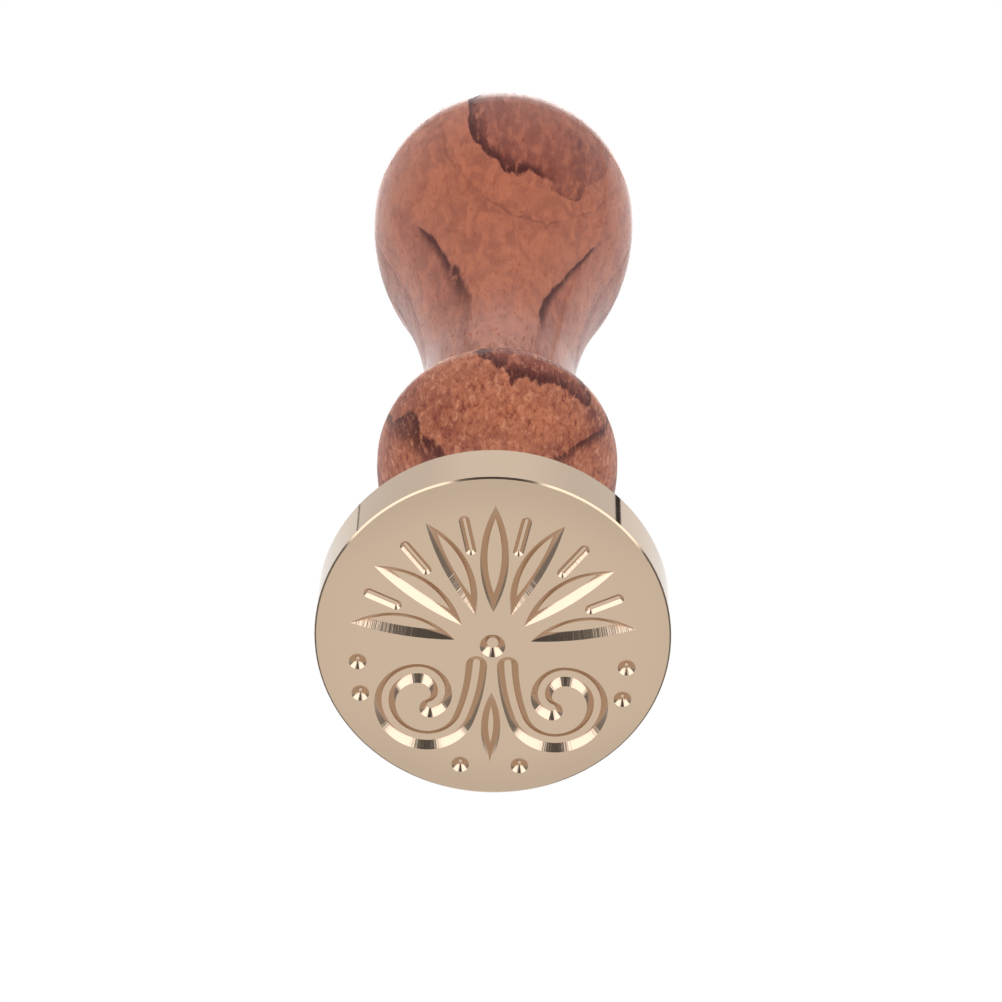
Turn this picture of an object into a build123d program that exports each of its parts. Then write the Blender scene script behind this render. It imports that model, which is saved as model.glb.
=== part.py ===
"""Wax seal stamp: a brass seal head, a threaded stud, a sleeve and a turned wooden handle.

Millimetres, +Z up along the stamp's axis. The stamp stands on its engraved face, so the face
lies in the plane z = 0 with its centre at the origin. The engraved palmette points to -Y.
"""
import math
import os

from build123d import *

# seal head
seal_diameter = 25.0
seal_thickness = 4.5
rim_chamfer = 0.12
boss_diameter = 14.5
head_height = 14.5
boss_fillet = 0.8
boss_chamfer = 0.3

# engraving, cut by a conical tool with a flat tip inside a plain margin
plain_margin = 2.0
cut_depth = 0.50
cut_wall_angle = 45.0
cut_overshoot = 0.2
scroll_tip_radius = 0.25
stamen_tip_radius = 0.10
stamen_depth = 0.28
hub_tip_radius = 0.40
dot_tip_radius = 0.12

# palmette, laid out in parts of the engraved field's radius and in degrees from the middle leaf:
# each leaf has its bearing, its far end and its two bulges, each stamen its bearing and two ends
hub_offset = 0.06
leaf_start = 0.25
leaves = [(0, 1.05, 0.095, 0.095), (27, 1.02, 0.043, 0.128),
          (54, 0.99, 0.038, 0.133), (81, 0.97, 0.030, 0.133)]
stamens = [(12.5, 0.73, 0.95), (38.9, 0.72, 0.94), (65.6, 0.71, 0.91)]
drop_start = 0.40
drop_end = 0.96
drop_bulge = 0.065
dots = [(0.90, 0.20), (0.88, 0.44), (0.20, 0.97)]

# volute of tangent arcs, each a radius and the angle it turns through
volute_start = (0.105, 0.21)
volute_heading = 2.0
volute = [(1.33, 18), (0.262, 70), (0.285, 90), (0.225, 90), (0.155, 90), (0.115, 70)]

# screw thread between head and handle
thread_diameter = 7.0
thread_pitch = 1.0
thread_depth = 0.583
thread_clearance = 0.06
flank_clearance = 0.04
flank_angle = 30.0
crest_flat = 0.125
tap_floor = 4.9
tip_gap = 1.6
mouth_width = 0.3
stud_tip_chamfer = 0.6
stud_relief = 0.5
relief_depth = 0.08

# stud shank and the sleeve that holds it in the handle
shank_diameter = 6.0
shank_length = 17.0
sleeve_wall = 1.57
sleeve_overlap = 1.0
flange_width = 1.2
flange_thickness = 1.2
glue_gap = 0.03
bore_end_gap = 0.5

# turned handle, its heights measured from its foot
handle_length = 72.5
bulb_diameter = 22.0
waist_diameter = 11.3
waist_rise = 22.9
bead_diameter = 18.2
bead_rise = 13.9
foot_wall = 1.0
foot_rise = 0.7
foot_round = 0.4
bead_lower_share = 0.42
bead_upper_share = 0.36
bulb_share = 0.70

# sizes that the pieces share
seal_radius = seal_diameter/2
field = seal_radius - plain_margin
hub_y = hub_offset*field
boss_radius = boss_diameter/2
cut_slope = math.tan(math.radians(cut_wall_angle))
flank_slope = math.tan(math.radians(flank_angle))
stud_radius = thread_diameter/2 - thread_clearance/2
tap_radius = thread_diameter/2 + thread_clearance/2
stud_root_radius = stud_radius - thread_depth
tap_root_radius = stud_root_radius + thread_clearance
thread_start = tap_floor + thread_pitch/2
stud_end = tap_floor + tip_gap
shank_radius = shank_diameter/2
sleeve_bore = shank_radius + glue_gap
sleeve_radius = sleeve_bore + sleeve_wall
sleeve_top = head_height + shank_length + sleeve_overlap
flange_radius = sleeve_radius + flange_width
flange_top = head_height + flange_thickness
foot_radius = flange_radius + glue_gap + foot_wall
handle_top = head_height + handle_length
above = (Align.CENTER, Align.CENTER, Align.MIN)


def fan(bearing, reach):
    """Point at a distance from the palmette's hub, its bearing counted from the middle leaf."""
    angle = math.radians(bearing)
    return (reach*field*math.sin(angle), hub_y - reach*field*math.cos(angle))


def thread_section(crest_radius, root_radius, crest_half_width):
    """Corners of a thread ridge in its radial plane, set a little into the core."""
    inner = root_radius - relief_depth
    root_half_width = crest_half_width + (crest_radius - inner)*flank_slope
    return [(inner, -root_half_width), (crest_radius, -crest_half_width),
            (crest_radius, crest_half_width), (inner, root_half_width)]


def turned(start, finish, share):
    """Two tangent arcs that leave and arrive parallel to the axis and meet on the chord."""
    joint = (start[0] + share*(finish[0] - start[0]), start[1] + share*(finish[1] - start[1]))
    TangentArc(start, joint, tangent=(0, 1))
    TangentArc(finish, joint, tangent=(0, -1))


def engrave_dot(centre, tip_radius, depth):
    """Cut one round dimple with the tapered tool."""
    height = depth + cut_overshoot
    with Locations(Vector(centre) - Vector(0, 0, cut_overshoot)):
        Cone(tip_radius + height*cut_slope, tip_radius, height, align=above, mode=Mode.SUBTRACT)


def engrave_line(path, tip_radius, depth):
    """Cut one stroke along a path in the face, with the tool's round ends."""
    height = depth + cut_overshoot
    half_width = tip_radius + height*cut_slope
    start = path @ 0 - Vector(0, 0, cut_overshoot)
    with BuildSketch(Plane(origin=start, x_dir=(0, 0, 1), z_dir=path % 0)) as tool:
        with BuildLine():
            Polyline((0, -half_width), (height, -tip_radius),
                     (height, tip_radius), (0, half_width), close=True)
        make_face()
    sweep(tool.sketch, path=path, mode=Mode.SUBTRACT)
    engrave_dot(path @ 0, tip_radius, depth)
    engrave_dot(path @ 1, tip_radius, depth)


def engrave_leaf(base, tip, bulge_one, bulge_two):
    """Cut one pointed leaf, a pocket between two arcs with sloping walls."""
    middle = Vector(base[0] + tip[0], base[1] + tip[1])/2
    chord = Vector(tip[0] - base[0], tip[1] - base[1])
    along = chord.normalized()
    across = Vector(-along.Y, along.X)
    radius_one = (chord.length**2/4 + bulge_one**2)/(2*bulge_one)
    radius_two = (chord.length**2/4 + bulge_two**2)/(2*bulge_two)
    centre_one = bulge_one - radius_one
    centre_two = radius_two - bulge_two
    sections = []
    for height in (-cut_overshoot, cut_depth):
        # both arcs keep their centres and lose the wall's run, so the points move inward too
        small_one = radius_one - height*cut_slope
        small_two = radius_two - height*cut_slope
        rise = (centre_one**2 - centre_two**2 - small_one**2 + small_two**2)/(2*(centre_one - centre_two))
        reach = math.sqrt(small_one**2 - (rise - centre_one)**2)
        near = middle - along*reach + across*rise
        far = middle + along*reach + across*rise
        with BuildSketch(Plane.XY.offset(height)) as outline:
            with BuildLine():
                ThreePointArc(near, middle + across*(centre_one + small_one), far)
                ThreePointArc(far, middle + across*(centre_two - small_two), near)
            make_face()
        sections.append(outline.sketch.face())
    loft(sections, ruled=True, mode=Mode.SUBTRACT)


with BuildPart() as seal_head:
    with BuildSketch(Plane.XZ):
        with BuildLine():
            Polyline((0, 0), (seal_radius, 0), (seal_radius, seal_thickness), (boss_radius, seal_thickness),
                     (boss_radius, head_height), (0, head_height), close=True)
        make_face()
    revolve(axis=Axis.Z)
    rings = seal_head.edges().filter_by(GeomType.CIRCLE).sort_by(Axis.Z)
    chamfer(rings.filter_by(lambda ring: ring.radius > (seal_radius + boss_radius)/2), rim_chamfer)
    rings = seal_head.edges().filter_by(GeomType.CIRCLE).sort_by(Axis.Z)
    fillet(rings.filter_by(lambda ring: ring.radius < (seal_radius + boss_radius)/2)[0], boss_fillet)
    rings = seal_head.edges().filter_by(GeomType.CIRCLE).sort_by(Axis.Z)
    chamfer(rings[-1], boss_chamfer)
    # tapped hole with a countersunk mouth
    mouth_radius = tap_radius + mouth_width
    with BuildSketch(Plane.XZ):
        with BuildLine():
            Polyline((0, head_height + mouth_width), (mouth_radius + mouth_width, head_height + mouth_width),
                     (tap_root_radius, head_height - (mouth_radius - tap_root_radius)),
                     (tap_root_radius, tap_floor), (0, tap_floor), close=True)
        make_face()
    revolve(axis=Axis.Z, mode=Mode.SUBTRACT)
    groove_turns = math.ceil((head_height - thread_start)/thread_pitch) + 1
    with BuildLine() as groove:
        for turn in range(groove_turns):
            Helix(thread_pitch, thread_pitch, stud_radius, center=(0, 0, thread_start + turn*thread_pitch))
    with BuildSketch(Plane(origin=(0, 0, thread_start), x_dir=(1, 0, 0), z_dir=(0, -1, 0))):
        with BuildLine():
            Polyline(*thread_section(tap_radius, tap_root_radius, crest_flat/2 + flank_clearance), close=True)
        make_face()
    sweep(path=groove.line, is_frenet=True, mode=Mode.SUBTRACT)
    # palmette, its drop and its hub, then what is mirrored to both sides
    engrave_dot((0, hub_y, 0), hub_tip_radius, cut_depth)
    engrave_leaf((0, drop_start*field), (0, drop_end*field), drop_bulge*field, drop_bulge*field)
    for bearing, reach, bulge_low, bulge_high in leaves:
        bulges = (bulge_low*field, bulge_high*field)
        engrave_leaf(fan(bearing, leaf_start), fan(bearing, reach), bulges[0], bulges[1])
        if bearing > 0:
            engrave_leaf(fan(-bearing, leaf_start), fan(-bearing, reach), bulges[1], bulges[0])
    for side in (1, -1):
        for bearing, near_end, far_end in stamens:
            with BuildLine() as stamen:
                Line(fan(side*bearing, near_end), fan(side*bearing, far_end))
            engrave_line(stamen.line, stamen_tip_radius, stamen_depth)
        for across, along in dots:
            engrave_dot((side*across*field, along*field, 0), dot_tip_radius, cut_depth)
        with BuildLine() as scroll:
            heading = math.radians(volute_heading)
            at = Vector(side*volute_start[0], volute_start[1])*field
            direction = Vector(side*math.sin(heading), math.cos(heading))
            for radius, turn in volute:
                arc = JernArc(at, direction, radius*field, -side*turn)
                at = arc @ 1
                direction = arc % 1
        engrave_line(scroll.line, scroll_tip_radius, cut_depth)
    seal_head.part.label = "seal_head"

with BuildPart() as threaded_stud:
    relief_radius = stud_root_radius - relief_depth
    outside = stud_radius + thread_pitch/2
    relief_end = head_height - stud_relief
    thread_top = head_height + thread_pitch
    with Locations((0, 0, stud_end)):
        Cylinder(stud_root_radius, thread_top - stud_end, align=above)
    ridge_start = thread_start + math.floor(tip_gap/thread_pitch)*thread_pitch
    ridge_turns = math.ceil((head_height - ridge_start)/thread_pitch)
    with BuildLine() as ridge:
        for turn in range(ridge_turns):
            Helix(thread_pitch, thread_pitch, stud_radius, center=(0, 0, ridge_start + turn*thread_pitch))
    with BuildSketch(Plane(origin=(0, 0, ridge_start), x_dir=(1, 0, 0), z_dir=(0, -1, 0))):
        with BuildLine():
            Polyline(*thread_section(stud_radius, stud_root_radius, crest_flat/2), close=True)
        make_face()
    sweep(path=ridge.line, is_frenet=True)
    # chamfered tip below, relief groove above the last turn
    with BuildSketch(Plane.XZ):
        with BuildLine():
            Polyline((0, stud_end), (stud_radius - stud_tip_chamfer, stud_end),
                     (outside, stud_end + outside - stud_radius + stud_tip_chamfer),
                     (outside, stud_end - thread_pitch), (0, stud_end - thread_pitch), close=True)
        make_face()
    revolve(axis=Axis.Z, mode=Mode.SUBTRACT)
    with BuildSketch(Plane.XZ):
        with BuildLine():
            Polyline((relief_radius, relief_end),
                     (outside, relief_end - (outside - relief_radius)*flank_slope),
                     (outside, thread_top + thread_pitch),
                     (relief_radius, thread_top + thread_pitch), close=True)
        make_face()
    revolve(axis=Axis.Z, mode=Mode.SUBTRACT)
    with Locations((0, 0, head_height)):
        Cylinder(shank_radius, shank_length, align=above)
    threaded_stud.part.label = "threaded_stud"

with BuildPart() as handle_insert:
    with BuildSketch(Plane.XZ):
        with BuildLine():
            Polyline((sleeve_bore, head_height + glue_gap), (flange_radius, head_height + glue_gap),
                     (flange_radius, flange_top), (sleeve_radius, flange_top),
                     (sleeve_radius, sleeve_top), (sleeve_bore, sleeve_top), close=True)
        make_face()
    revolve(axis=Axis.Z)
    handle_insert.part.label = "handle_insert"

with BuildPart() as turned_handle:
    with BuildSketch(Plane.XZ):
        with BuildLine():
            bead = (bead_diameter/2, head_height + bead_rise)
            waist = (waist_diameter/2, head_height + waist_rise)
            bulb = (bulb_diameter/2, handle_top - bulb_diameter/2)
            foot_edge = foot_radius - foot_round
            Polyline((0, handle_top), (0, head_height), (foot_edge, head_height))
            RadiusArc((foot_edge, head_height), (foot_radius, head_height + foot_round), -foot_round)
            Line((foot_radius, head_height + foot_round), (foot_radius, head_height + foot_rise))
            turned((foot_radius, head_height + foot_rise), bead, bead_lower_share)
            turned(bead, waist, bead_upper_share)
            turned(waist, bulb, bulb_share)
            TangentArc(bulb, (0, handle_top), tangent=(0, 1))
        make_face()
    revolve(axis=Axis.Z)
    # bore and recess for the sleeve and its flange
    with BuildSketch(Plane.XZ):
        with BuildLine():
            Polyline((0, head_height - foot_rise), (flange_radius + glue_gap, head_height - foot_rise),
                     (flange_radius + glue_gap, flange_top + glue_gap),
                     (sleeve_radius + glue_gap, flange_top + glue_gap),
                     (sleeve_radius + glue_gap, sleeve_top + bore_end_gap),
                     (0, sleeve_top + bore_end_gap), close=True)
        make_face()
    revolve(axis=Axis.Z, mode=Mode.SUBTRACT)
    turned_handle.part.label = "turned_handle"

os.makedirs("parts", exist_ok=True)
for piece in (seal_head, threaded_stud, handle_insert, turned_handle):
    export_step(piece.part, f"parts/{piece.part.label}.step")
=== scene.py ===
"""Looks of a wax seal stamp: a pale brass seal head screwed to a turned rosewood handle.

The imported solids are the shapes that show. This file dresses each of them with a procedural
finish, lays a pale floor under the stamp, lights it like a small product table and sets the camera
below the seal, so that the engraved face looks at it. Lengths are metres, but the finishes count
in millimetres of the stamp's frame: z is the height above the engraved face.
"""
import logging
import math
from dataclasses import dataclass
from enum import Enum
from typing import Any, Union

import bpy
from mathutils import Matrix, Vector

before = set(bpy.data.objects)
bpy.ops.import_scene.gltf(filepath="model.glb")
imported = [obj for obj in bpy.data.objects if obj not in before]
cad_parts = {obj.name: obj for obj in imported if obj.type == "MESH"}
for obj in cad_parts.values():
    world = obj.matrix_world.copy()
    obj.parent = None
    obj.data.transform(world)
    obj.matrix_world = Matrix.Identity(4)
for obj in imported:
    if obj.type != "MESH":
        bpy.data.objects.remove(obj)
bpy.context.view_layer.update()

log = logging.getLogger("wax_seal_stamp")

Colour = tuple[float, float, float]
Direction = tuple[float, float, float]
Span = tuple[float, float]
Value = Union["Sock", float]

MM_PER_METRE = 1000.0
METRES_PER_MM = 0.001
NOISE_MEAN = 0.5


class Sock:
    """An output socket of a node tree. Arithmetic on it adds Math nodes."""

    def __init__(self, board: "Board", socket: bpy.types.NodeSocket) -> None:
        """Wrap one socket.

        Args:
            board: the node tree that the socket belongs to.
            socket: the output socket.
        """
        self.board = board
        self.socket = socket

    def sibling(self, name: str) -> "Sock":
        """Another output of the same node."""
        return Sock(self.board, self.socket.node.outputs[name])

    def _maths(self, operation: str, first: Value, second: Value) -> "Sock":
        """One Math node on two values."""
        return self.board.node("ShaderNodeMath", {"operation": operation}, {0: first, 1: second})

    def __add__(self, other: Value) -> "Sock":
        """Sum."""
        return self._maths("ADD", self, other)

    def __radd__(self, other: float) -> "Sock":
        """Sum with a number on the left."""
        return self._maths("ADD", other, self)

    def __sub__(self, other: Value) -> "Sock":
        """Difference."""
        return self._maths("SUBTRACT", self, other)

    def __rsub__(self, other: float) -> "Sock":
        """Difference with a number on the left."""
        return self._maths("SUBTRACT", other, self)

    def __mul__(self, other: Value) -> "Sock":
        """Product."""
        return self._maths("MULTIPLY", self, other)

    def __rmul__(self, other: float) -> "Sock":
        """Product with a number on the left."""
        return self._maths("MULTIPLY", other, self)

    def __truediv__(self, other: Value) -> "Sock":
        """Quotient."""
        return self._maths("DIVIDE", self, other)

    def __rtruediv__(self, other: float) -> "Sock":
        """Quotient with a number on the left."""
        return self._maths("DIVIDE", other, self)

    def __pow__(self, other: Value) -> "Sock":
        """Power."""
        return self._maths("POWER", self, other)

    def __abs__(self) -> "Sock":
        """Size without the sign."""
        return self._maths("ABSOLUTE", self, 0.0)

    def highest(self, other: Value) -> "Sock":
        """The larger of two values."""
        return self._maths("MAXIMUM", self, other)

    def lowest(self, other: Value) -> "Sock":
        """The smaller of two values."""
        return self._maths("MINIMUM", self, other)


@dataclass(frozen=True)
class Grain:
    """The make of a smooth noise.

    Attributes:
        pitch: features for each unit of length along x, y and z.
        detail: number of finer octaves.
        roughness: how strong the finer octaves are.
        distortion: how much the noise folds on itself.
    """

    pitch: Direction
    detail: float = 2.0
    roughness: float = 0.5
    distortion: float = 0.0


class Board:
    """A node tree that is being wired up."""

    def __init__(self, tree: bpy.types.NodeTree) -> None:
        """Start from an empty tree.

        Args:
            tree: the tree of a material or of the world.
        """
        self.tree = tree
        tree.nodes.clear()

    def node(self, kind: str, settings: dict[str, Any] | None = None,
             sockets: dict[str | int, Any] | None = None, out: str | int = 0) -> Sock:
        """Add one node.

        Args:
            kind: the node's type.
            settings: its properties, set first.
            sockets: its inputs by name or index, each a number, a colour or a socket to link.
            out: the output that is wanted.

        Returns:
            The wanted output, or the first input's wrapper for a node without outputs.
        """
        made = self.tree.nodes.new(kind)
        for name, value in (settings or {}).items():
            setattr(made, name, value)
        for key, value in (sockets or {}).items():
            target = made.inputs[key]
            if isinstance(value, Sock):
                self.tree.links.new(value.socket, target)
            elif isinstance(value, tuple) and target.type == "RGBA" and len(value) == 3:
                target.default_value = (*value, 1.0)
            else:
                target.default_value = value
        return Sock(self, made.outputs[out] if made.outputs else made.inputs[0])

    def step(self, value: Value, low: float, high: float) -> Sock:
        """Smooth step from 0 at low to 1 at high; low may be the larger of the two.

        Args:
            value: what is measured.
            low: where the step is 0.
            high: where the step is 1.

        Returns:
            The step's value.
        """
        ends = {"From Min": min(low, high), "From Max": max(low, high),
                "To Min": float(low > high), "To Max": float(low < high)}
        return self.node("ShaderNodeMapRange", {"interpolation_type": "SMOOTHSTEP"},
                         {"Value": value, **ends})

    def hill(self, offset: Sock, reach: float) -> Sock:
        """A flat-topped hill: 1 at no offset, a half at the reach and soon 0 beyond it."""
        return 1.0 / ((offset / reach) ** 4.0 + 1.0)

    def between(self, share: Value, first: Sock, second: Value) -> Sock:
        """A value between two others: the first at share 0 and the second at share 1."""
        return first + (second - first) * share

    def blend(self, share: Value, first: Colour | Sock, second: Colour | Sock) -> Sock:
        """Mix two colours.

        Args:
            share: how much of the second colour.
            first: the colour at share 0.
            second: the colour at share 1.

        Returns:
            The mixed colour.
        """
        settings = {"data_type": "RGBA", "blend_type": "MIX", "clamp_factor": True}
        # its colour sockets share their names with its other sockets, so they go by index
        return self.node("ShaderNodeMix", settings, {0: share, 6: first, 7: second}, 2)

    def scaled(self, vector: Sock, factors: Direction) -> Sock:
        """A vector with each part multiplied.

        Args:
            vector: the vector.
            factors: one factor for each axis.

        Returns:
            The product.
        """
        return self.node("ShaderNodeVectorMath", {"operation": "MULTIPLY"},
                         {0: vector, 1: factors})

    def moved(self, vector: Sock, direction: Sock, distance: Value) -> Sock:
        """A point moved along a direction.

        Args:
            vector: the point.
            direction: which way it goes.
            distance: how far it goes, in lengths of the direction.

        Returns:
            The moved point.
        """
        path = self.node("ShaderNodeVectorMath", {"operation": "SCALE"},
                         {0: direction, "Scale": distance})
        return self.node("ShaderNodeVectorMath", {"operation": "ADD"}, {0: vector, 1: path})

    def along(self, vector: Sock, direction: Direction) -> Sock:
        """How far a vector reaches along a direction."""
        return self.node("ShaderNodeVectorMath", {"operation": "DOT_PRODUCT"},
                         {0: vector, 1: direction}, "Value")

    def apart(self, vector: Sock, point: Direction) -> Sock:
        """How far a point lies from another one."""
        return self.node("ShaderNodeVectorMath", {"operation": "DISTANCE"},
                         {0: vector, 1: point}, "Value")

    def parts(self, vector: Sock) -> tuple[Sock, Sock, Sock]:
        """A vector's three coordinates."""
        x = self.node("ShaderNodeSeparateXYZ", {}, {"Vector": vector}, "X")
        return x, x.sibling("Y"), x.sibling("Z")

    def radius(self, x: Sock, y: Sock) -> Sock:
        """How far a point lies from the axis that x and y are counted from."""
        return (x * x + y * y) ** 0.5

    def noise(self, vector: Sock, grain: Grain) -> Sock:
        """Smooth noise, about NOISE_MEAN on average.

        Args:
            vector: where it is read.
            grain: the noise's make.

        Returns:
            The noise's value.
        """
        return self.node("ShaderNodeTexNoise", {"noise_dimensions": "3D"},
                         {"Vector": self.scaled(vector, grain.pitch), "Scale": 1.0,
                          "Detail": grain.detail, "Roughness": grain.roughness,
                          "Distortion": grain.distortion}, "Fac")

    def tool_rings(self, radius: Sock, z: Sock, pitch: float) -> Sock:
        """Smooth noise that is the same all round the axis, as a lathe leaves it."""
        track = self.node("ShaderNodeCombineXYZ", {}, {"X": radius, "Y": z})
        return self.noise(track, Grain((pitch, pitch, pitch)))

    def bump(self, height: Sock, strength: float) -> Sock:
        """The normal of a surface with small heights, in millimetres."""
        return self.node("ShaderNodeBump", {}, {"Strength": strength, "Distance": METRES_PER_MM,
                                                "Height": height})

    def place(self) -> Sock:
        """The point on the piece, in millimetres of the stamp's frame at rest."""
        point = self.node("ShaderNodeTexCoord", {}, {}, "Object")
        return self.scaled(point, (MM_PER_METRE,) * 3)

    def facing(self) -> Sock:
        """The surface's own normal, in the piece's frame."""
        return self.node("ShaderNodeTexCoord", {}, {}, "Normal")

    def surface(self, sockets: dict[str | int, Any]) -> None:
        """Close a material with one Principled shader.

        Args:
            sockets: the shader's inputs.
        """
        shader = self.node("ShaderNodeBsdfPrincipled", {}, sockets)
        self.node("ShaderNodeOutputMaterial", {}, {"Surface": shader})


def new_board(name: str) -> tuple[bpy.types.Material, Board]:
    """Make an empty material.

    Args:
        name: the material's name.

    Returns:
        The material and the board of its node tree.
    """
    material = bpy.data.materials.new(name)
    material.use_nodes = True
    return material, Board(material.node_tree)


@dataclass
class WoodSite:
    """The point of the handle that is shaded, and how far it belongs to each zone."""

    board: Board
    place: Sock
    x: Sock
    y: Sock
    z: Sock
    bead: Sock
    waist: Sock
    calm: Sock


@dataclass(frozen=True)
class HandleZones:
    """Where the wood's looks change on the handle.

    Attributes:
        bead: the heights between which the bead's looks set in, downwards.
        waist_height: the middle of the narrow waist.
        waist_reach: how far the waist goes up and down from there.
        calm_from: the heights between which the layers turn calm, in the bulb's lower half.
        calm_until: the heights between which they turn ragged again, downwards.
        calm_foot: the heights between which they turn calm near the foot, downwards.
        calm_left: where they do so there, from the middle to the left.
    """

    bead: Span = (42.0, 34.0)
    waist_height: float = 40.0
    waist_reach: float = 5.0
    calm_from: Span = (42.0, 46.0)
    calm_until: Span = (66.0, 58.0)
    calm_foot: Span = (27.0, 24.0)
    calm_left: Span = (1.0, -1.0)

    def read(self, board: Board) -> WoodSite:
        """Read the point that is shaded.

        Args:
            board: the finish's node tree.

        Returns:
            The point and its zones.
        """
        place = board.place()
        x, y, z = board.parts(place)
        calm = board.step(z, *self.calm_from) * board.step(z, *self.calm_until)
        calm = calm + board.step(z, *self.calm_foot) * board.step(x, *self.calm_left)
        waist = board.hill(z - self.waist_height, self.waist_reach)
        return WoodSite(board, place, x, y, z, board.step(z, *self.bead), waist, calm)


class Edge(Enum):
    """The side of a growth layer on which its dark line is sharp."""

    OUTER = -1.0
    INNER = 1.0


@dataclass(frozen=True)
class GrowthLayer:
    """One dark layer in the wood, by its distance from the handle's axis towards the bark.

    Attributes:
        depth: that distance, at LEAN_HEIGHT.
        sharp: the side on which its line is sharp.
        line: how dark the line is.
        width: how wide the line is.
        stain: how dark the stain behind the line is.
        spread: how wide the stain is.
        lean: how much further out the layer lies for each millimetre up.
        twist: how much the lean grows for each millimetre to the right.
        bottom: the height at which the layer begins.
        top: the height at which it ends.
        fade: how far to the right the line goes on.
        soft: how wide the line's sharp edge is.
    """

    depth: float
    sharp: Edge
    line: float
    width: float
    stain: float
    spread: float
    lean: float = 0.0
    twist: float = 0.0
    bottom: float = 0.0
    top: float = 100.0
    fade: float = 100.0
    soft: float = 0.08

    LEAN_HEIGHT = 50.0
    EDGE_START = -0.05
    LINE_CORE = 0.08
    STAIN_CORE = 0.2
    RUN_IN = 3.0
    RUN_OUT = 5.0
    STAIN_PAST_FADE = 0.8

    def marks(self, site: WoodSite, ring: Sock) -> tuple[Sock, Sock]:
        """Work out how much this layer darkens the wood.

        Args:
            site: the point that is shaded.
            ring: its distance from the axis towards the bark, as the layers bend.

        Returns:
            The share of the line and the share of the stain.
        """
        board = site.board
        rise = site.z - self.LEAN_HEIGHT
        depth = rise * (site.x * self.twist + self.lean) + self.depth
        inside = (ring - depth) * self.sharp.value
        edge = board.step(inside, self.EDGE_START, self.soft)
        present = board.step(site.z, self.bottom - self.RUN_IN, self.bottom + self.RUN_IN)
        present = present * board.step(site.z, self.top + self.RUN_IN, self.top - self.RUN_OUT)
        near = board.step(site.x, self.fade + self.RUN_IN, self.fade)
        line = edge * board.step(inside, self.width, self.LINE_CORE) * self.line
        stain = edge * board.step(inside, self.spread, self.STAIN_CORE) * self.stain
        kept = near * (1.0 - self.STAIN_PAST_FADE) + self.STAIN_PAST_FADE
        return line * present * near, stain * present * kept


@dataclass(frozen=True)
class Ripple:
    """A height at which the wood's layers lie deeper than elsewhere, by the rise."""

    height: float
    reach: float
    rise: float


@dataclass(frozen=True)
class Swell:
    """A place round which the wood's layers lie deeper, by the rise, or are stained."""

    centre: Direction
    reach: float
    rise: float
    stain: float = 0.0


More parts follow.
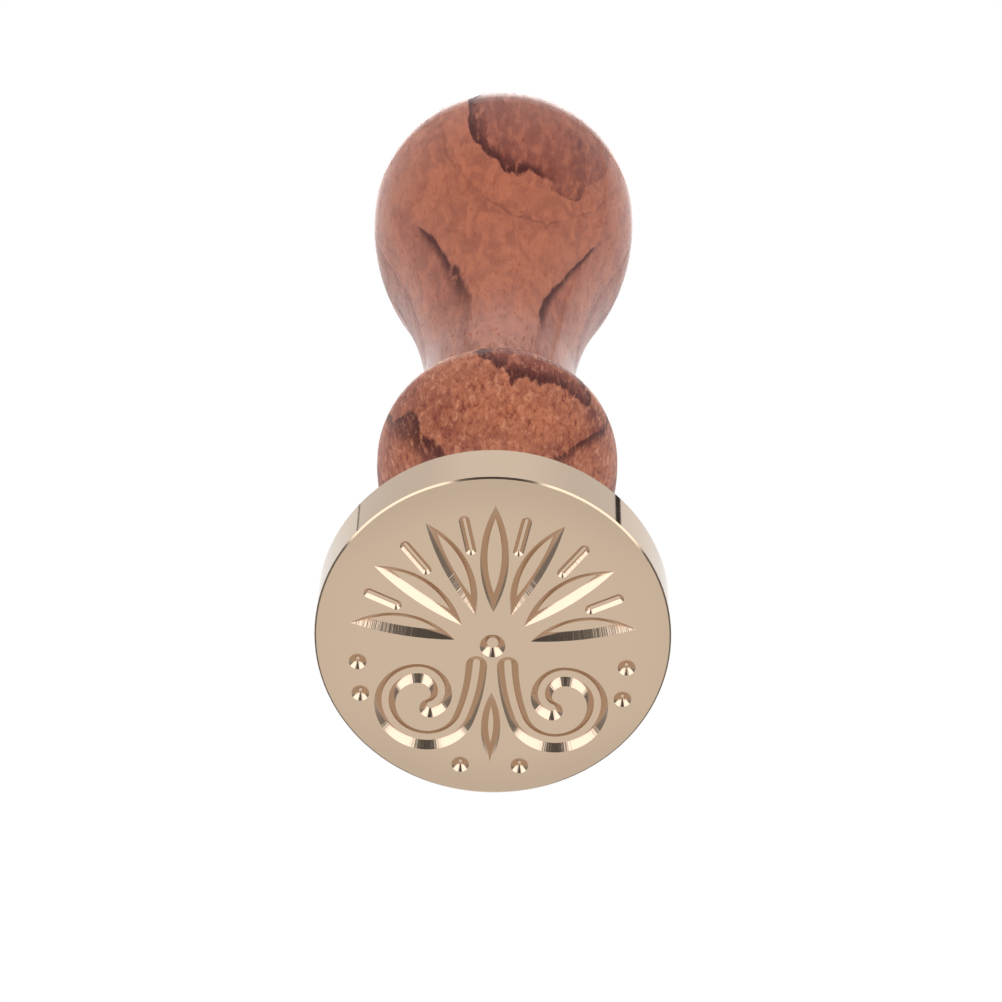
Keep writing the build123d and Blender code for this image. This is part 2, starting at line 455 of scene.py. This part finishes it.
@dataclass(frozen=True)
class Growth:
    """How the wood's layers run through the handle, and the dark marks that they leave.

    Attributes:
        bark_angle: the way to the bark, in degrees from the front to the right.
        pith_distance: how far the tree's middle lies from the handle's axis.
        turn_depth: the depth from which the layers lie turned.
        turn_span: how far below and above that depth the turn changes.
        turn_start: the turn at that depth.
        turn_rate: how much it grows for each millimetre towards the bark.
        slow: the noise that bends the layers, by slow_depth.
        ragged: the noise that frays them, by ragged_depth, less calm_depth where they are calm.
        ripples: the heights at which they lie deeper.
        swells: the places round which they lie deeper or are stained.
        layers: the dark layers.
        upper: the heights between which the lines come back above the waist.
        right: where they come back earlier, from the middle to the right.
        right_upper: the heights between which they do so there.
        lower: the heights between which they come back below the waist, downwards.
        upper_share: how strong the lines are above the waist, more than at it.
        right_share: the same on the right.
        waist_share: how strong they are at the waist.
        patches: the noise that thins the lines in large patches, between line_patches.
        bead_patches: how little it does so on the bead.
        tufts: the noise that breaks lines and stains up along the fibres.
        line_tufts: where it breaks the lines.
        calm_tufts: how little it does so where they are calm.
        stain_tufts: where it breaks the stains.
        bead_stain: how much stronger the stains are on the bead.
    """

    bark_angle: float = 8.0
    pith_distance: float = 42.0
    turn_depth: float = 5.4
    turn_span: Span = (-1.0, 4.0)
    turn_start: float = -0.061
    turn_rate: float = 0.066
    slow: Grain = Grain((0.11, 0.11, 0.045), 1.0)
    slow_depth: float = 0.8
    ragged: Grain = Grain((0.9, 0.9, 0.18), 3.0, 0.6)
    ragged_depth: float = 0.9
    calm_depth: float = 0.4
    ripples: tuple[Ripple, ...] = (Ripple(30.5, 3.0, 0.8), Ripple(40.5, 4.5, 0.4))
    swells: tuple[Swell, ...] = (
        Swell((3.0, -8.3, 25.2), 2.2, -0.28),
        Swell((7.2, -5.9, 26.8), 1.8, 1.30),
        Swell((-6.2, -6.0, 24.0), 2.0, -0.48),
        Swell((3.0, -8.9, 64.8), 1.5, -0.55),
        Swell((5.4, -7.4, 64.4), 1.2, 0.80),
        Swell((6.3, -8.8, 72.0), 1.3, 0.0, 0.45),
        Swell((6.9, -7.7, 68.8), 2.6, 0.0, 0.20),
        Swell((7.4, -5.1, 25.9), 1.4, 0.0, 0.62),
        Swell((-7.8, -4.6, 25.0), 2.0, 0.0, 0.24),
    )
    layers: tuple[GrowthLayer, ...] = (
        GrowthLayer(9.20, Edge.INNER, 1.0, 0.76, 0.75, 5.0, 0.012, bottom=46.0, fade=4.4),
        GrowthLayer(9.20, Edge.INNER, 1.0, 0.76, 0.50, 5.0, 0.012, top=40.0),
        GrowthLayer(7.20, Edge.OUTER, 0.0, 0.38, 0.38, 2.5, top=38.0, soft=1.2),
        GrowthLayer(8.00, Edge.OUTER, 0.3, 0.13, 0.25, 0.8, bottom=46.0),
        GrowthLayer(5.57, Edge.OUTER, 1.0, 0.54, 0.36, 2.6, -0.0093, -0.0025,
                    bottom=38.0, top=64.0),
        GrowthLayer(5.57, Edge.OUTER, 1.0, 0.84, 0.08, 2.2, -0.0093, -0.0025, top=38.0),
        GrowthLayer(1.60, Edge.OUTER, 0.22, 0.29, 0.48, 2.0),
        GrowthLayer(-2.2, Edge.INNER, 0.9, 0.50, 0.70, 3.4),
        GrowthLayer(-5.6, Edge.OUTER, 0.8, 0.34, 0.60, 2.2),
        GrowthLayer(-8.9, Edge.INNER, 1.0, 0.59, 0.80, 3.9),
    )
    upper: Span = (42.0, 52.0)
    right: Span = (1.0, 2.5)
    right_upper: Span = (42.0, 44.5)
    lower: Span = (36.0, 33.0)
    upper_share: float = 0.8
    right_share: float = 0.6
    waist_share: float = 0.2
    patches: Grain = Grain((0.30, 0.30, 0.16))
    line_patches: Span = (0.28, 0.50)
    bead_patches: float = 0.7
    tufts: Grain = Grain((1.5, 1.5, 0.36), distortion=0.4)
    line_tufts: Span = (0.28, 0.50)
    calm_tufts: float = 0.4
    stain_tufts: Span = (0.14, 0.64)
    bead_stain: float = 0.8

    def _ring(self, site: WoodSite) -> Sock:
        """Distance from the handle's axis towards the bark, as the layers bend.

        Args:
            site: the point that is shaded.

        Returns:
            The distance, without the swells.
        """
        board = site.board
        angle = math.radians(self.bark_angle)
        from_pith = board.radius(site.x + self.pith_distance * math.sin(angle),
                                 site.y - self.pith_distance * math.cos(angle))
        ring = from_pith - self.pith_distance
        # the layers nearer to the bark lie a little turned
        inner, outer = self.turn_span
        outward = (ring - self.turn_depth).highest(inner).lowest(outer)
        ring = ring + site.x * (outward * self.turn_rate + self.turn_start)
        for ripple in self.ripples:
            ring = ring + board.hill(site.z - ripple.height, ripple.reach) * ripple.rise
        slow = board.noise(site.place, self.slow) - NOISE_MEAN
        ragged = board.noise(site.place, self.ragged) - NOISE_MEAN
        frayed = self.ragged_depth - site.calm * self.calm_depth
        return ring + slow * self.slow_depth + ragged * frayed

    def _strength(self, site: WoodSite) -> Sock:
        """How strong the lines are: faint round the waist, but lower down on its right.

        Args:
            site: the point that is shaded.

        Returns:
            The share of the lines that is kept.
        """
        board, z = site.board, site.z
        right = board.step(site.x, *self.right) * board.step(z, *self.right_upper)
        above = board.step(z, *self.upper) * self.upper_share + right * self.right_share
        return (above + self.waist_share + board.step(z, *self.lower)).lowest(1.0)

    def marks(self, site: WoodSite) -> tuple[Sock, Sock]:
        """Work out how much the layers darken the wood.

        Args:
            site: the point that is shaded.

        Returns:
            The share of the dark lines and the share of the stains behind them.
        """
        board, bead = site.board, site.bead
        ring = self._ring(site)
        lines: Value = 0.0
        stains: Value = 0.0
        for swell in self.swells:
            share = board.hill(board.apart(site.place, swell.centre), swell.reach)
            ring = share * swell.rise + ring
            stains = share * swell.stain + stains
        for layer in self.layers:
            line, stain = layer.marks(site, ring)
            lines = line + lines
            stains = stain + stains
        patches = board.step(board.noise(site.place, self.patches), *self.line_patches)
        tufts = board.noise(site.place, self.tufts)
        lines = lines * self._strength(site) * (patches + bead * self.bead_patches).lowest(1.0)
        unbroken = board.step(tufts, *self.line_tufts) + site.calm * self.calm_tufts
        stains = stains * board.step(tufts, *self.stain_tufts) * (bead * self.bead_stain + 1.0)
        return lines * unbroken.lowest(1.0), stains.lowest(1.0)


@dataclass(frozen=True)
class LacqueredRosewood:
    """Terracotta rosewood with dark growth layers, open pores and a thin satin lacquer.

    Attributes:
        light: the ground's lighter colour.
        warm: the ground's deeper colour.
        plum: the colour of stains, clouds, pits and pores.
        dark: the colour of the layers' lines.
        pale: the colour of the bead's paler ground and of the glints painted on the bead.
        zones: where the looks change on the handle.
        growth: how the layers run.
        mottle: the noise that blends the ground's two colours, between mottle_span.
        fibre: the noise along the fibres, which deepens the ground by fibre_contrast about
            fibre_share.
        bead_pale: how much paler the bead's ground is.
        figure: the noise that clouds the bead, between figure_span, by figure_share.
        line_share: how much the lines cover.
        grit: the noise of the glints painted on the bead, between glint_span, and of its pits,
            between pit_span.
        glint_share: how much the painted glints cover.
        glint_loss: how much less they cover on lines and stains.
        pit_share: how much the pits cover.
        pore: the noise of the pores, between pore_span.
        pore_share: how much the pores cover.
        bead_pores: how much more they cover on the bead.
        fibre_height: how high the fibres stand, in millimetres.
        grit_height: how high the bead's grit stands.
        pore_depth: how deep the pores are.
        roughness: the wood's roughness.
        fibre_roughness: how much it changes along the fibres.
        pore_roughness: how much rougher the pores are.
        bead_gloss: how much smoother the bead is.
        coat: the lacquer on the bulb.
        bead_bare: how much less there is on the bead.
        waist_coat: how much more there is at the waist.
        pore_bare: how much of it is missing in pores.
        line_bare: how much of it is missing on lines.
        stain_bare: how much of it is missing on stains.
    """

    light: Colour = (0.430, 0.119, 0.052)
    warm: Colour = (0.298, 0.071, 0.032)
    plum: Colour = (0.155, 0.028, 0.020)
    dark: Colour = (0.052, 0.005, 0.004)
    pale: Colour = (0.560, 0.235, 0.135)
    zones: HandleZones = HandleZones()
    growth: Growth = Growth()
    mottle: Grain = Grain((0.8, 0.8, 0.34), 3.0, 0.6, 0.8)
    mottle_span: Span = (0.36, 0.68)
    fibre: Grain = Grain((3.0, 3.0, 0.45), 4.0, 0.65)
    fibre_contrast: float = 1.2
    fibre_share: float = 0.15
    bead_pale: float = 0.30
    figure: Grain = Grain((0.62, 0.62, 0.62), distortion=1.4)
    figure_span: Span = (0.40, 0.62)
    figure_share: float = 0.32
    line_share: float = 0.94
    grit: Grain = Grain((2.4, 2.4, 0.9), 3.0, 0.68, 0.4)
    glint_span: Span = (0.50, 0.72)
    glint_share: float = 0.95
    glint_loss: float = 0.4
    pit_span: Span = (0.47, 0.28)
    pit_share: float = 0.9
    pore: Grain = Grain((5.5, 5.5, 1.2), 1.0)
    pore_span: Span = (0.60, 0.70)
    pore_share: float = 0.1
    bead_pores: float = 0.3
    fibre_height: float = 0.006
    grit_height: float = 0.04
    pore_depth: float = 0.008
    roughness: float = 0.45
    fibre_roughness: float = 0.2
    pore_roughness: float = 0.15
    bead_gloss: float = 0.05
    coat: float = 0.46
    bead_bare: float = 0.42
    waist_coat: float = 0.54
    pore_bare: float = 0.6
    line_bare: float = 0.7
    stain_bare: float = 0.5

    def _ground(self, site: WoodSite, fibre: Sock) -> Sock:
        """The wood's colour between its layers.

        Args:
            site: the point that is shaded.
            fibre: the noise along the fibres, about 0.

        Returns:
            The colour.
        """
        board, bead = site.board, site.bead
        mottle = board.step(board.noise(site.place, self.mottle), *self.mottle_span)
        ground = board.blend(mottle, self.light, self.warm)
        ground = board.blend(fibre * self.fibre_contrast + self.fibre_share, ground, self.warm)
        ground = board.blend(bead * self.bead_pale, ground, self.pale)
        # the bead is cloudier than the bulb
        figure = board.step(board.noise(site.place, self.figure), *self.figure_span)
        return board.blend(figure * bead * self.figure_share, ground, self.plum)

    def make(self, name: str) -> bpy.types.Material:
        """Wire up the finish.

        Args:
            name: the material's name.

        Returns:
            The material.
        """
        material, board = new_board(name)
        site = self.zones.read(board)
        bead = site.bead
        lines, stains = self.growth.marks(site)
        fibre = board.noise(site.place, self.fibre) - NOISE_MEAN
        grit = board.noise(site.place, self.grit)
        pores = board.step(board.noise(site.place, self.pore), *self.pore_span)

        colour = board.blend(stains, self._ground(site, fibre), self.plum)
        colour = board.blend(lines * self.line_share, colour, self.dark)
        # painted glints: pale specks on the bead stand in for the lacquer's sparkle, fewer on lines
        # and stains
        seen = self.glint_share - stains * self.glint_loss - lines * self.glint_loss
        colour = board.blend(board.step(grit, *self.glint_span) * bead * seen, colour, self.pale)
        pits = board.step(grit, *self.pit_span) * bead
        colour = board.blend(pits * self.pit_share, colour, self.plum)
        filled = bead * self.bead_pores + self.pore_share
        colour = board.blend(pores * filled, colour, self.plum)

        height = (fibre * self.fibre_height + (grit - NOISE_MEAN) * bead * self.grit_height
                  - pores * self.pore_depth)
        roughness = (self.roughness + fibre * self.fibre_roughness + pores * self.pore_roughness
                     - bead * self.bead_gloss)
        lacquer = self.coat - bead * self.bead_bare + site.waist * self.waist_coat
        coat_wear_and_rim_shade = ((1.0 - pores * self.pore_bare) * (1.0 - lines * self.line_bare)
                * (1.0 - stains * self.stain_bare))
        board.surface({
            "Base Color": colour,
            "Roughness": roughness,
            "IOR": 1.45,
            "Specular IOR Level": 0.10,
            "Coat Weight": coat_wear_and_rim_shade * lacquer,
            "Coat Roughness": 0.16,
            "Coat IOR": 1.5,
            "Normal": board.bump(height, strength=0.7),
        })
        return material


@dataclass(frozen=True)
class PaleBrass:
    """Machined pale brass: lapped face, milled pockets, turned sides.

    Attributes:
        metal: the bare metal's colour.
        pocket: the colour of the milled walls.
        face_shade: the face's colour where shade is painted on it, towards its rim.
        lapped_roughness: the face's roughness.
        milled_roughness: the roughness of the milled walls.
        turned_roughness: the roughness of the rest.
        level: the upward part of the normal between which a surface counts as level.
        face: the heights between which it counts as the face, downwards.
        engraved_radius: the radii between which the engraving begins, inwards.
        engraved_height: the heights between which it begins, downwards.
        lap: the noise that lapping leaves.
        lap_roughness: how much the roughness changes with it.
        lap_height: how high it stands, in millimetres.
        chatter: the noise of the milling tool's marks.
        chatter_height: how high they stand.
        wall_slant: the way along a wall's normal for each millimetre of height.
        turning_pitch: the turning tool's rings for each millimetre.
        turning_height: how high they stand.
        cloud: the noise that clouds the metal.
        cloud_share: how much the colour changes with it.
        cloud_roughness: how much the roughness changes with it.
        pocket_share: how much of the walls has their own colour.
        shade_radius: the radii between which the painted shade sets in on the face.
        shade_offset: how far to the front or back the painted shade gets darker still.
        rim_shade: how dark the painted shade is all round the rim.
        shade_gain: how much darker the painted shade is at the front and back.
    """

    metal: Colour = (0.600, 0.455, 0.331)
    pocket: Colour = (0.612, 0.472, 0.363)
    face_shade: Colour = (0.520, 0.392, 0.284)
    lapped_roughness: float = 0.24
    milled_roughness: float = 0.12
    turned_roughness: float = 0.035
    level: Span = (-0.80, -0.97)
    face: Span = (0.03, 0.01)
    engraved_radius: Span = (12.2, 12.0)
    engraved_height: Span = (2.0, 1.8)
    lap: Grain = Grain((5.0, 5.0, 5.0), 3.0, 0.6)
    lap_roughness: float = 0.03
    lap_height: float = 0.0008
    chatter: Grain = Grain((7.0, 7.0, 0.0), 2.0, 0.6)
    chatter_height: float = 0.012
    wall_slant: float = math.sqrt(2.0)
    turning_pitch: float = 9.0
    turning_height: float = 0.0008
    cloud: Grain = Grain((0.35, 0.35, 0.35))
    cloud_share: float = 0.3
    cloud_roughness: float = 0.06
    pocket_share: float = 0.8
    shade_radius: Span = (8.0, 12.8)
    shade_offset: Span = (4.0, 11.0)
    rim_shade: float = 0.25
    shade_gain: float = 0.6

    def make(self, name: str) -> bpy.types.Material:
        """Wire up the finish.

        Args:
            name: the material's name.

        Returns:
            The material.
        """
        material, board = new_board(name)
        place = board.place()
        x, y, z = board.parts(place)
        facing = board.facing()
        _, _, up = board.parts(facing)
        radius = board.radius(x, y)
        level = board.step(up, *self.level)
        lapped = level * board.step(z, *self.face)
        inside = board.step(radius, *self.engraved_radius) * board.step(z, *self.engraved_height)
        wall = inside * (1.0 - level)
        outside = (1.0 - lapped) * (1.0 - wall)

        lap = board.noise(place, self.lap) - NOISE_MEAN
        # tool marks run straight down the sloping walls, so they are read at the wall's upper edge
        edge = board.moved(place, facing, z * -self.wall_slant)
        chatter = board.noise(edge, self.chatter) - NOISE_MEAN
        turning = board.tool_rings(radius, z, self.turning_pitch) - NOISE_MEAN
        cloud = board.noise(place, self.cloud) - NOISE_MEAN

        pocket = wall * self.pocket_share + cloud * self.cloud_share
        colour = board.blend(pocket, self.metal, self.pocket)
        # painted shade: the face is darker towards its rim, and darker still to the front and back
        ends = board.step(abs(y), *self.shade_offset) * self.shade_gain + self.rim_shade
        coat_wear_and_rim_shade = board.step(radius, *self.shade_radius) * ends
        colour = board.blend(lapped * coat_wear_and_rim_shade, colour, self.face_shade)
        roughness = (lapped * self.lapped_roughness + wall * self.milled_roughness
                     + outside * self.turned_roughness
                     + lap * self.lap_roughness + cloud * self.cloud_roughness)
        height = (wall * chatter * self.chatter_height + outside * turning * self.turning_height
                  + lapped * lap * self.lap_height)
        board.surface({
            "Base Color": colour,
            "Metallic": 1.0,
            "Roughness": roughness,
            "Normal": board.bump(height, strength=1.0),
        })
        return material


@dataclass(frozen=True)
class PlatedSteel:
    """Zinc-plated steel with rolled thread flanks and a patchy haze."""

    bright: Colour = (0.62, 0.63, 0.64)
    hazy: Colour = (0.50, 0.50, 0.47)
    roughness: float = 0.30
    haze: Grain = Grain((0.8, 0.8, 0.8), 3.0, 0.6)
    haze_span: Span = (0.35, 0.7)
    haze_roughness: float = 0.3
    rolling: Grain = Grain((2.0, 2.0, 14.0))
    rolling_height: float = 0.01

    def make(self, name: str) -> bpy.types.Material:
        """Wire up the finish.

        Args:
            name: the material's name.

        Returns:
            The material.
        """
        material, board = new_board(name)
        place = board.place()
        haze = board.noise(place, self.haze)
        rolling = board.noise(place, self.rolling) - NOISE_MEAN
        board.surface({
            "Base Color": board.blend(board.step(haze, *self.haze_span), self.bright, self.hazy),
            "Metallic": 1.0,
            "Roughness": (haze - NOISE_MEAN) * self.haze_roughness + self.roughness,
            "Normal": board.bump(rolling * self.rolling_height, strength=0.4),
        })
        return material


@dataclass(frozen=True)
class TurnedBrass:
    """Plain turned brass with fine tool rings and a little tarnish."""

    metal: Colour = (0.66, 0.45, 0.24)
    tarnish: Colour = (0.40, 0.25, 0.12)
    roughness: float = 0.24
    ring_pitch: float = 8.0
    ring_height: float = 0.012
    cloud: Grain = Grain((0.5, 0.5, 0.5), 3.0, 0.6)
    cloud_roughness: float = 0.2
    tarnish_span: Span = (0.45, 0.8)
    tarnish_share: float = 0.7

    def make(self, name: str) -> bpy.types.Material:
        """Wire up the finish.

        Args:
            name: the material's name.

        Returns:
            The material.
        """
        material, board = new_board(name)
        place = board.place()
        x, y, z = board.parts(place)
        rings = board.tool_rings(board.radius(x, y), z, self.ring_pitch) - NOISE_MEAN
        cloud = board.noise(place, self.cloud)
        tarnished = board.step(cloud, *self.tarnish_span) * self.tarnish_share
        board.surface({
            "Base Color": board.blend(tarnished, self.metal, self.tarnish),
            "Metallic": 1.0,
            "Roughness": (cloud - NOISE_MEAN) * self.cloud_roughness + self.roughness,
            "Normal": board.bump(rings * self.ring_height, strength=0.5),
        })
        return material


@dataclass(frozen=True)
class PaleFloor:
    """Matt pale table top, seen from above only, that fades out into the white round it.

    Its lengths are metres.
    """

    colour: Colour = (0.90, 0.89, 0.88)
    shade: Colour = (0.84, 0.83, 0.82)
    paper: Grain = Grain((300.0, 300.0, 300.0), 3.0)
    paper_contrast: float = 0.3
    paper_share: float = 0.1
    solid_radius: float = 0.10
    fade_radius: float = 0.34

    def make(self, name: str) -> bpy.types.Material:
        """Wire up the finish.

        Args:
            name: the material's name.

        Returns:
            The material.
        """
        material, board = new_board(name)
        place = board.node("ShaderNodeTexCoord", {}, {}, "Object")
        x, y, _ = board.parts(place)
        paper = board.noise(place, self.paper) - NOISE_MEAN
        tint = board.blend(paper * self.paper_contrast + self.paper_share, self.colour, self.shade)
        matt = board.node("ShaderNodeBsdfDiffuse", {}, {"Color": tint})
        clear = board.node("ShaderNodeBsdfTransparent")
        below = board.node("ShaderNodeNewGeometry", {}, {}, "Backfacing")
        faded = board.step(board.radius(x, y), self.solid_radius, self.fade_radius)
        shader = board.node("ShaderNodeMixShader", {}, {0: below.highest(faded), 1: matt, 2: clear})
        board.node("ShaderNodeOutputMaterial", {}, {"Surface": shader})
        return material


def dress(node: str, material: bpy.types.Material) -> None:
    """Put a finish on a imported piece.

    Args:
        node: the piece's name.
        material: its finish.
    """
    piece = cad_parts[node]
    for slot in piece.material_slots:
        slot.material = material
    log.info("%s: %s, %d faces", node, material.name, len(piece.data.polygons))


@dataclass
class SealHead:
    """The engraved brass disc with the boss that the handle screws into."""

    node: str = "seal_head"
    finish: PaleBrass = PaleBrass()

    def dress(self) -> None:
        """Give the head its machined brass."""
        dress(self.node, self.finish.make("pale_brass"))


@dataclass
class ScrewJoint:
    """The steel stud and the brass sleeve that holds it in the handle."""

    stud: str = "threaded_stud"
    sleeve: str = "handle_insert"
    stud_finish: PlatedSteel = PlatedSteel()
    sleeve_finish: TurnedBrass = TurnedBrass()

    def dress(self) -> None:
        """Give stud and sleeve their metals."""
        dress(self.stud, self.stud_finish.make("plated_steel"))
        dress(self.sleeve, self.sleeve_finish.make("turned_brass"))


@dataclass
class TurnedHandle:
    """The rosewood handle with its bead, waist and bulb."""

    node: str = "turned_handle"
    finish: LacqueredRosewood = LacqueredRosewood()

    def dress(self) -> None:
        """Give the handle its lacquered wood."""
        dress(self.node, self.finish.make("lacquered_rosewood"))


@dataclass(frozen=True)
class Patch:
    """A round area of the studio, brighter or darker than the rest; its angles are degrees."""

    toward: Direction
    spread: float
    softness: float
    level: float


@dataclass
class Studio:
    """Floor, light and camera.

    Attributes:
        floor_half_width: half the table top's side.
        floor_gap: how far the table top lies under the face.
        level: how bright the studio is.
        patches: its brighter and darker areas.
        overhead: the height of a direction between which it counts as overhead.
        sweep_level: how bright the studio is overhead beyond the slit.
        front_fall: how much darker it gets there in front of the slit, towards the sides.
        front_sides: how far to the side it does so.
        slit_level: how bright the slit is.
        slit_tilt: how much the slit runs askew.
        slit_offset: how far behind the middle it runs.
        slit_half_width: half its width on the left.
        slit_growth: how much wider it is on the right.
        slit_turn: where it grows, from left to right.
        slit_soft: half the width of its soft edges.
        sweep_soft: half the width of the change of brightness behind it.
        mirrored: the direction that the level face mirrors to the camera.
        ring_level: how bright the ring round that direction is.
        ring_start: where the ring ends farther from it, by the angle's cosine.
        ring_end: where the ring ends nearer to it.
        frame_px: the picture's side.
        focal_px: the lens in the picture's pixels.
        sensor_mm: the camera's film.
        distance: how far the face's middle lies from the camera.
        tilt: the angle between the view and the stamp's axis, in degrees.
        roll: how much the stamp leans in the picture, in degrees.
        face_centre_px: where the face's middle lies in the picture.
        clip_start: the nearest point that the camera sees.
        clip_end: the farthest.
    """

    floor_half_width: float = 0.5
    floor_gap: float = 0.0001
    level: float = 0.83
    patches: tuple[Patch, ...] = (
        Patch((0.72, -0.60, -0.37), 26.0, 10.0, 2.05),
        Patch((-0.72, -0.60, -0.37), 26.0, 10.0, 2.05),
        Patch((0.0, -0.898, -0.44), 12.0, 6.0, 0.11),
        Patch((0.0, 0.15, 0.99), 15.0, 10.0, 3.6),
    )
    overhead: Span = (0.55, 0.85)
    sweep_level: float = 0.98
    front_fall: float = 0.16
    front_sides: Span = (0.1, 0.4)
    slit_level: float = 0.05
    slit_tilt: float = 0.129
    slit_offset: float = 0.051
    slit_half_width: float = 0.005
    slit_growth: float = 0.014
    slit_turn: Span = (-0.2, 0.2)
    slit_soft: float = 0.003
    sweep_soft: float = 0.004
    mirrored: Direction = (0.0, 0.44, -0.898)
    ring_level: float = 0.25
    ring_start: Span = (-0.07, -0.02)
    ring_end: Span = (0.30, 0.22)
    frame_px: float = 1002.0
    focal_px: float = 4467.7
    sensor_mm: float = 36.0
    distance: float = 0.312906
    tilt: float = 26.101
    roll: float = 1.372
    face_centre_px: tuple[float, float] = (492.72, 638.11)
    clip_start: float = 0.01
    clip_end: float = 10.0

    def lay_floor(self) -> None:
        """Lay the table top just under the engraved face."""
        half = self.floor_half_width
        corners = [(-half, -half, 0.0), (half, -half, 0.0), (half, half, 0.0), (-half, half, 0.0)]
        mesh = bpy.data.meshes.new("table_top")
        mesh.from_pydata(corners, [], [(0, 1, 2, 3)])
        mesh.materials.append(PaleFloor().make("pale_floor"))
        floor = bpy.data.objects.new("table_top", mesh)
        floor.location.z = -self.floor_gap
        # only the eye meets it: the studio's light reaches the face from below
        floor.visible_diffuse = False
        floor.visible_glossy = False
        floor.visible_transmission = False
        floor.visible_shadow = False
        bpy.context.scene.collection.objects.link(floor)
        log.info("table_top: %.2f m wide", 2 * half)

    def _overhead_level(self, board: Board, x: Sock, y: Sock, plain: Sock) -> Sock:
        """How bright the studio is overhead: lighter beyond a dark slit than in front of it.

        Args:
            board: the world's node tree.
            x: the direction's part to the right.
            y: the direction's part to the back.
            plain: how bright the studio is elsewhere.

        Returns:
            The brightness.
        """
        past_slit = y + x * self.slit_tilt - self.slit_offset
        beyond = board.step(past_slit, -self.sweep_soft, self.sweep_soft)
        front = plain - board.step(abs(x), *self.front_sides) * self.front_fall
        above = board.between(beyond, front, self.sweep_level)
        half_width = board.step(x, *self.slit_turn) * self.slit_growth + self.slit_half_width
        slit = board.step(abs(past_slit) - half_width, self.slit_soft, -self.slit_soft)
        return board.between(slit, above, self.slit_level)

    def light(self) -> None:
        """Surround the stamp with soft white light, with a few brighter and darker areas."""
        world = bpy.data.worlds.new("studio")
        world.use_nodes = True
        bpy.context.scene.world = world
        board = Board(world.node_tree)
        toward = board.node("ShaderNodeTexCoord", {}, {}, "Generated")
        x, y, z = board.parts(toward)
        # the eye sees plain white, and so do metal and glass between the studio's own areas
        seen = board.node("ShaderNodeLightPath", {}, {}, "Is Camera Ray")
        shown = seen.sibling("Is Glossy Ray").highest(seen.sibling("Is Transmission Ray"))
        plain = shown * (1.0 - self.level) + self.level
        above = self._overhead_level(board, x, y, plain)
        level = board.between(board.step(z, *self.overhead), plain, above)
        # a dark ring round what the level face mirrors, which the rim's chamfer picks up
        off_mirror = board.along(toward, self.mirrored)
        ring = board.step(off_mirror, *self.ring_start) * board.step(off_mirror, *self.ring_end)
        level = board.between(ring, level, self.ring_level)
        for patch in self.patches:
            cosine = board.along(toward, tuple(Vector(patch.toward).normalized()))
            rim = math.cos(math.radians(patch.spread + patch.softness / 2))
            core = math.cos(math.radians(patch.spread - patch.softness / 2))
            level = board.between(board.step(cosine, rim, core), level, patch.level)
        strength = board.between(seen, level, 1.0)
        shader = board.node("ShaderNodeBackground", {},
                            {"Color": (1.0, 1.0, 1.0), "Strength": strength})
        board.node("ShaderNodeOutputWorld", {}, {"Surface": shader})
        log.info("studio light: %d areas", len(self.patches))

    def set_camera(self) -> None:
        """Stand the camera below the seal, where the engraved face looks at it."""
        tilt, roll = math.radians(self.tilt), math.radians(self.roll)
        # the stamp's axes as the camera sees them: right, down and away
        axis = Vector((math.sin(roll) * math.sin(tilt), -math.cos(roll) * math.sin(tilt),
                       math.cos(tilt)))
        across = Vector((math.cos(roll), math.sin(roll), 0.0))
        turn = Matrix((across, axis.cross(across), axis))
        middle = self.frame_px / 2
        face = Vector(((self.face_centre_px[0] - middle) / self.focal_px,
                       (self.face_centre_px[1] - middle) / self.focal_px, 1.0)) * self.distance
        data = bpy.data.cameras.new("seal_camera")
        data.sensor_width = self.sensor_mm
        data.lens = self.focal_px / self.frame_px * self.sensor_mm
        data.clip_start = self.clip_start
        data.clip_end = self.clip_end
        camera = bpy.data.objects.new("seal_camera", data)
        flip = Matrix.Diagonal((1.0, -1.0, -1.0))
        camera.matrix_world = Matrix.Translation(turn @ -face) @ (turn @ flip).to_4x4()
        bpy.context.scene.collection.objects.link(camera)
        bpy.context.scene.camera = camera
        log.info("camera: lens %.1f mm", data.lens)


def main() -> None:
    """Dress the stamp and set the studio round it."""
    logging.basicConfig(level=logging.INFO)
    bpy.context.scene.view_settings.view_transform = "Standard"
    for assembly in (SealHead(), ScrewJoint(), TurnedHandle()):
        assembly.dress()
    studio = Studio()
    studio.lay_floor()
    studio.light()
    studio.set_camera()


if __name__ == "__main__":
    main()
